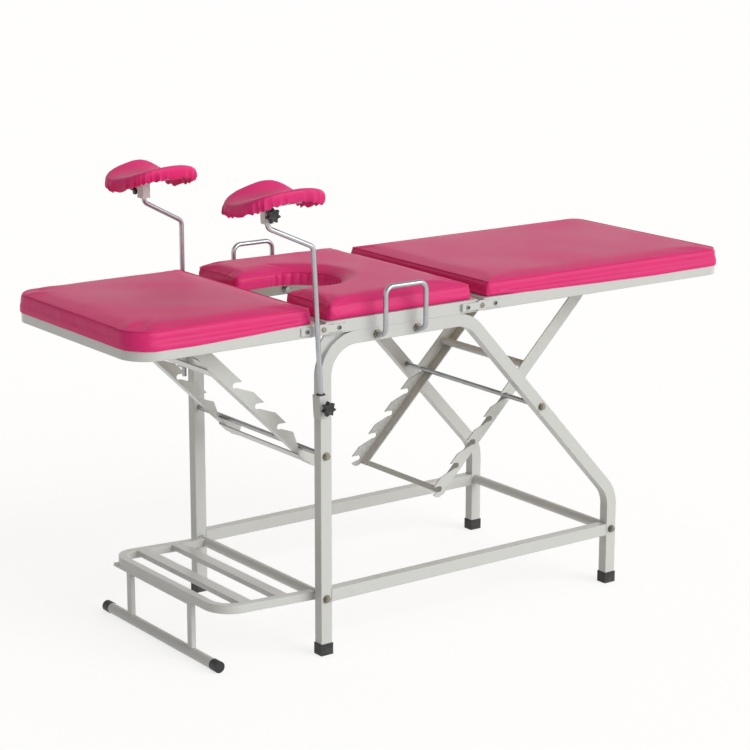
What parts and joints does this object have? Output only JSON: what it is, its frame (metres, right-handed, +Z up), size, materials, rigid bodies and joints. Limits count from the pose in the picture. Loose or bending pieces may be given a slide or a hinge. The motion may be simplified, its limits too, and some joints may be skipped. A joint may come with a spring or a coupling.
{
  "type": "gynaecological examination table",
  "caption": "Three-section padded examination table on a white tube frame, with drop leg section, lifting back, notched struts, fold-up step and two swivelling knee rests.",
  "frame": {"origin": "middle of the whole object's footprint, at the floor", "axes": "+X from the foot end to the head end, +Z up, -Y the left side of a patient with the head at +X"},
  "size_m": [1.756, 0.7472, 1.1348],
  "materials": {
    "white_enamel": "gloss off-white enamel",
    "chrome": "bright chrome plate",
    "black_plastic": "moulded black plastic",
    "pink_leather": "pink artificial leather",
    "plywood": "plywood",
    "dark_steel": "dark plated steel rod",
    "zinc": "zinc plated",
    "rubber": "black rubber"
  },
  "bodies": {
    "base": {"left_side_frame": "white_enamel", "right_side_frame": "white_enamel", "lower_rails": "white_enamel", "rear_cross_tube": "white_enamel", "frame_gussets": "white_enamel", "rubber_feet": "rubber", "front_locking_rod": "dark_steel", "rear_locking_rod": "dark_steel", "frame_bolts": "zinc", "seat_frame": "white_enamel", "seat_board": "plywood", "seat_cushion": "pink_leather", "left_hand_grip": "chrome", "right_hand_grip": "chrome", "hand_grip_nuts": "chrome", "fixed_hinge_leaves": "white_enamel", "hinge_pins": "zinc", "left_rod_socket": "white_enamel", "right_rod_socket": "white_enamel", "step_pivot_bolts": "zinc"},
    "leg_section": {"leg_frame": "white_enamel", "leg_board": "plywood", "leg_cushion": "pink_leather", "leg_hinge_leaves": "white_enamel", "leg_strut_bracket": "white_enamel"},
    "leg_strut": {"left_leg_strut_arm": "white_enamel", "right_leg_strut_arm": "white_enamel", "leg_strut_ties": "white_enamel"},
    "back_section": {"back_frame": "white_enamel", "back_board": "plywood", "back_cushion": "pink_leather", "back_hinge_leaves": "white_enamel", "back_strut_bracket": "white_enamel"},
    "back_strut": {"left_back_strut_arm": "white_enamel", "right_back_strut_arm": "white_enamel", "back_strut_ties": "white_enamel", "back_strut_spreader": "white_enamel"},
    "step": {"step_frame": "white_enamel", "step_slats": "white_enamel", "step_pivot_tube": "white_enamel", "step_stand": "white_enamel", "step_foot_bar": "white_enamel", "step_caps": "rubber"},
    "left_rod_bush": {"left_rod_bush": "black_plastic"},
    "left_holder": {"left_holder_rod": "chrome"},
    "left_lower_knob": {"left_lower_knob": "black_plastic"},
    "left_knee_rest": {"left_pad_socket": "white_enamel", "left_knee_plate": "white_enamel", "left_knee_pad": "pink_leather"},
    "left_upper_knob": {"left_upper_knob": "black_plastic"},
    "right_rod_bush": {"right_rod_bush": "black_plastic"},
    "right_holder": {"right_holder_rod": "chrome"},
    "right_lower_knob": {"right_lower_knob": "black_plastic"},
    "right_knee_rest": {"right_pad_socket": "white_enamel", "right_knee_plate": "white_enamel", "right_knee_pad": "pink_leather"},
    "right_upper_knob": {"right_upper_knob": "black_plastic"}
  },
  "joints": [
    {"name": "leg_hinge", "type": "hinge", "parent": "base", "child": "leg_section", "pos_m": [-0.387, 0, 0.787], "axis": [0, -1, 0], "range_deg": [0, 57]},
    {"name": "leg_strut_pivot", "type": "hinge", "parent": "leg_section", "child": "leg_strut", "pos_m": [-0.6616, 0, 0.76], "axis": [0, -1, 0], "range_deg": [-57, 0]},
    {"name": "back_hinge", "type": "hinge", "parent": "base", "child": "back_section", "pos_m": [0.073, 0, 0.787], "axis": [0, -1, 0], "range_deg": [0, 58]},
    {"name": "back_strut_pivot", "type": "hinge", "parent": "back_section", "child": "back_strut", "pos_m": [0.524, 0, 0.76], "axis": [0, -1, 0], "range_deg": [0, 31]},
    {"name": "step_fold", "type": "hinge", "parent": "base", "child": "step", "pos_m": [-0.378, 0, 0.139], "axis": [0, 1, 0], "range_deg": [0, 80]},
    {"name": "left_holder_swivel", "type": "hinge", "parent": "base", "child": "left_rod_bush", "pos_m": [-0.402, -0.306, 0.612], "axis": [-0.0541, 0, 0.9985], "range_deg": [-70, 70]},
    {"name": "left_holder_slide", "type": "slide", "parent": "left_rod_bush", "child": "left_holder", "axis": [-0.0541, 0, 0.9985], "range_m": [-0.03, 0.02]},
    {"name": "left_pad_swivel", "type": "hinge", "parent": "left_holder", "child": "left_knee_rest", "pos_m": [-0.53606, -0.29512, 1.03537], "axis": [-0.0541, 0, 0.9985], "range_deg": [-60, 60]},
    {"name": "left_lower_knob_turn", "type": "hinge", "parent": "base", "child": "left_lower_knob", "pos_m": [-0.402, -0.326, 0.612], "axis": [0, -1, 0], "range_deg": [0, 360]},
    {"name": "left_upper_knob_turn", "type": "hinge", "parent": "left_knee_rest", "child": "left_upper_knob", "pos_m": [-0.53977, -0.31502, 1.06772], "axis": [-0.0974, -0.9952, -0.0053], "range_deg": [0, 360]},
    {"name": "right_holder_swivel", "type": "hinge", "parent": "base", "child": "right_rod_bush", "pos_m": [-0.394, 0.306, 0.612], "axis": [0, 0, 1], "range_deg": [-70, 70]},
    {"name": "right_holder_slide", "type": "slide", "parent": "right_rod_bush", "child": "right_holder", "axis": [0, 0, 1], "range_m": [0, 0.05]},
    {"name": "right_pad_swivel", "type": "hinge", "parent": "right_holder", "child": "right_knee_rest", "pos_m": [-0.50497, 0.29512, 1.011], "axis": [0, 0, 1], "range_deg": [-60, 60]},
    {"name": "right_lower_knob_turn", "type": "hinge", "parent": "base", "child": "right_lower_knob", "pos_m": [-0.394, 0.326, 0.612], "axis": [0, 1, 0], "range_deg": [0, 360]},
    {"name": "right_upper_knob_turn", "type": "hinge", "parent": "right_knee_rest", "child": "right_upper_knob", "pos_m": [-0.50692, 0.31502, 1.0435], "axis": [-0.0976, 0.9952, 0], "range_deg": [0, 360]}
  ],
  "couplings": [
    {"joint": "leg_strut_pivot", "follows": "leg_hinge", "ratio": -1},
    {"joint": "back_strut_pivot", "follows": "back_hinge", "ratio": 0.53}
  ]
}
